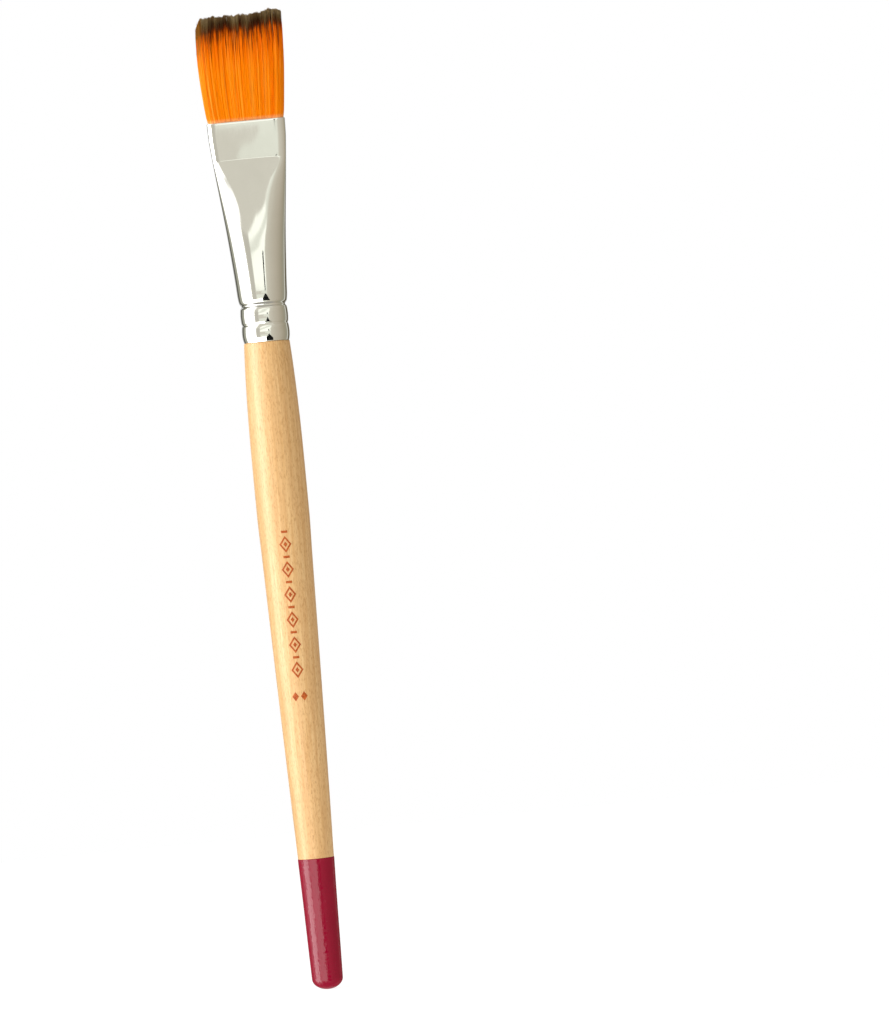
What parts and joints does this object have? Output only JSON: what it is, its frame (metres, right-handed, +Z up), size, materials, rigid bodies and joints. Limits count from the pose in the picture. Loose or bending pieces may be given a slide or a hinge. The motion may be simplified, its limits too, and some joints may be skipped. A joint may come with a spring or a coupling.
{
  "type": "flat brush",
  "caption": "Flat bristle brush with a turned wooden handle, a dipped tail, a crimped metal ferrule and a wide tuft of dyed synthetic filaments that flexes.",
  "frame": {"origin": "centre of the tail end of the handle, the lowest point of the brush held upright", "axes": "+Z runs up the brush's axis from the tail to the tips, the tuft's wide face looks along -Y, and +X is to the right of that face"},
  "size_m": [0.0182, 0.0108, 0.203],
  "materials": {
    "birch_wood": "clear lacquered pale wood, fine grain along the handle",
    "dip_lacquer": "thick burgundy lacquer, high gloss",
    "brown_foil": "brown hot-stamped foil",
    "cement": "dull cement",
    "nickel_plate": "bright nickel plate on brass, polished",
    "resin": "clear amber resin",
    "filament": "glossy orange synthetic filament, dyed dark brown at the tips"
  },
  "bodies": {
    "brush": {"handle": "birch_wood", "dip_coat": "dip_lacquer", "foil_border": "brown_foil", "foil_size_mark": "brown_foil", "tenon_glue": "cement", "ferrule": "nickel_plate", "epoxy_plug": "resin", "root_01": "filament", "root_02": "filament", "root_03": "filament", "root_04": "filament", "root_05": "filament", "root_06": "filament", "root_07": "filament", "root_08": "filament", "root_09": "filament", "root_10": "filament", "root_11": "filament", "root_12": "filament"},
    "tuft": {"lock_01": "filament", "lock_02": "filament", "lock_03": "filament", "lock_04": "filament", "lock_05": "filament", "lock_06": "filament", "lock_07": "filament", "lock_08": "filament", "lock_09": "filament", "lock_10": "filament", "lock_11": "filament", "lock_12": "filament"}
  },
  "joints": [
    {"name": "tuft_flex", "type": "hinge", "parent": "brush", "child": "tuft", "pos_m": [0, 0, 0.18388], "axis": [1, 0, 0], "range_deg": [-40, 40], "stiffness_Nm_per_rad": 0.02}
  ]
}
